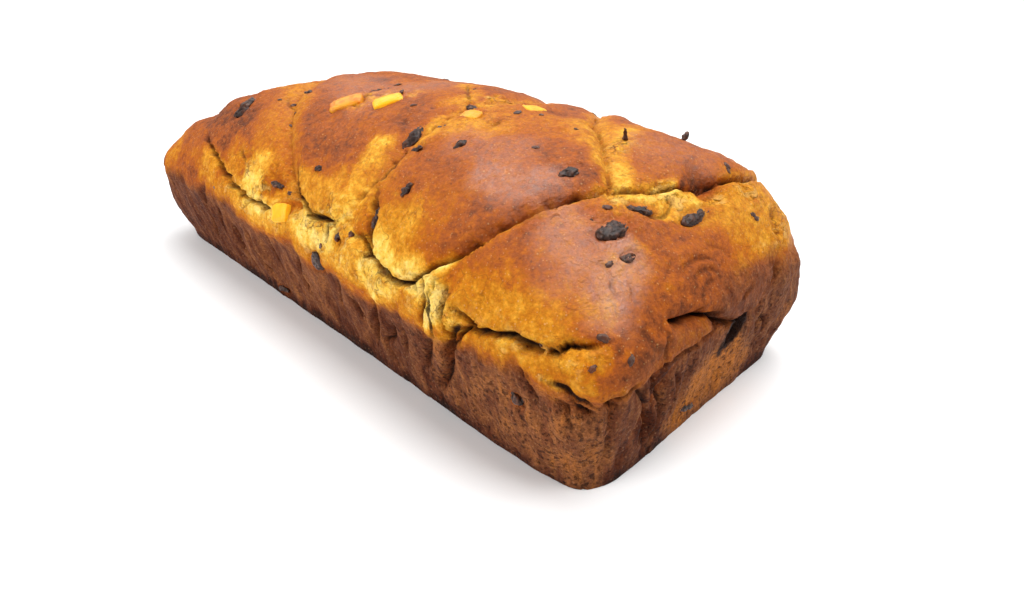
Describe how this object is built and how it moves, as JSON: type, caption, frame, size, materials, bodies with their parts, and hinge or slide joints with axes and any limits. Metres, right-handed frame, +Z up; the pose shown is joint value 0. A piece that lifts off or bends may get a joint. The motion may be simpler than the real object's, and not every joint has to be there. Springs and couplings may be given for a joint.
{
  "type": "christmas bread",
  "caption": "Tin-baked christmas bread: a twisted, egg-washed sweet loaf with deep folds between its strands, a pale band above dark tin sides, and raisins and candied peel in the crust.",
  "frame": {"origin": "centre of the base, on the surface the loaf stands on", "axes": "+X along the loaf towards its taller end, -Y towards the long side with the pale seam, +Z up"},
  "size_m": [0.301, 0.1398, 0.0941],
  "materials": {
    "crust": "baked crust: dark brown where the tin was, golden in the seams, red-brown and satin on the strands",
    "raisin": "dried, wrinkled skin",
    "peel": "candied, translucent and moist"
  },
  "bodies": {
    "root": {"loaf": "crust", "raisin_01": "raisin", "raisin_02": "raisin", "raisin_03": "raisin", "raisin_04": "raisin", "raisin_05": "raisin", "raisin_06": "raisin", "raisin_07": "raisin", "raisin_08": "raisin", "raisin_09": "raisin", "raisin_10": "raisin", "raisin_11": "raisin", "raisin_12": "raisin", "raisin_13": "raisin", "raisin_14": "raisin", "raisin_15": "raisin", "raisin_16": "raisin", "raisin_17": "raisin", "raisin_18": "raisin", "raisin_19": "raisin", "raisin_20": "raisin", "raisin_21": "raisin", "raisin_22": "raisin", "raisin_23": "raisin", "raisin_24": "raisin", "raisin_25": "raisin", "raisin_26": "raisin", "raisin_27": "raisin", "raisin_28": "raisin", "raisin_29": "raisin", "raisin_30": "raisin", "raisin_31": "raisin", "raisin_32": "raisin", "raisin_33": "raisin", "raisin_34": "raisin", "raisin_35": "raisin", "raisin_36": "raisin", "raisin_37": "raisin", "raisin_38": "raisin", "raisin_upright_01": "raisin", "raisin_upright_02": "raisin", "peel_01": "peel", "peel_02": "peel", "peel_03": "peel", "peel_04": "peel", "peel_05": "peel", "peel_06": "peel", "peel_07": "peel"}
  },
  "joints": []
}
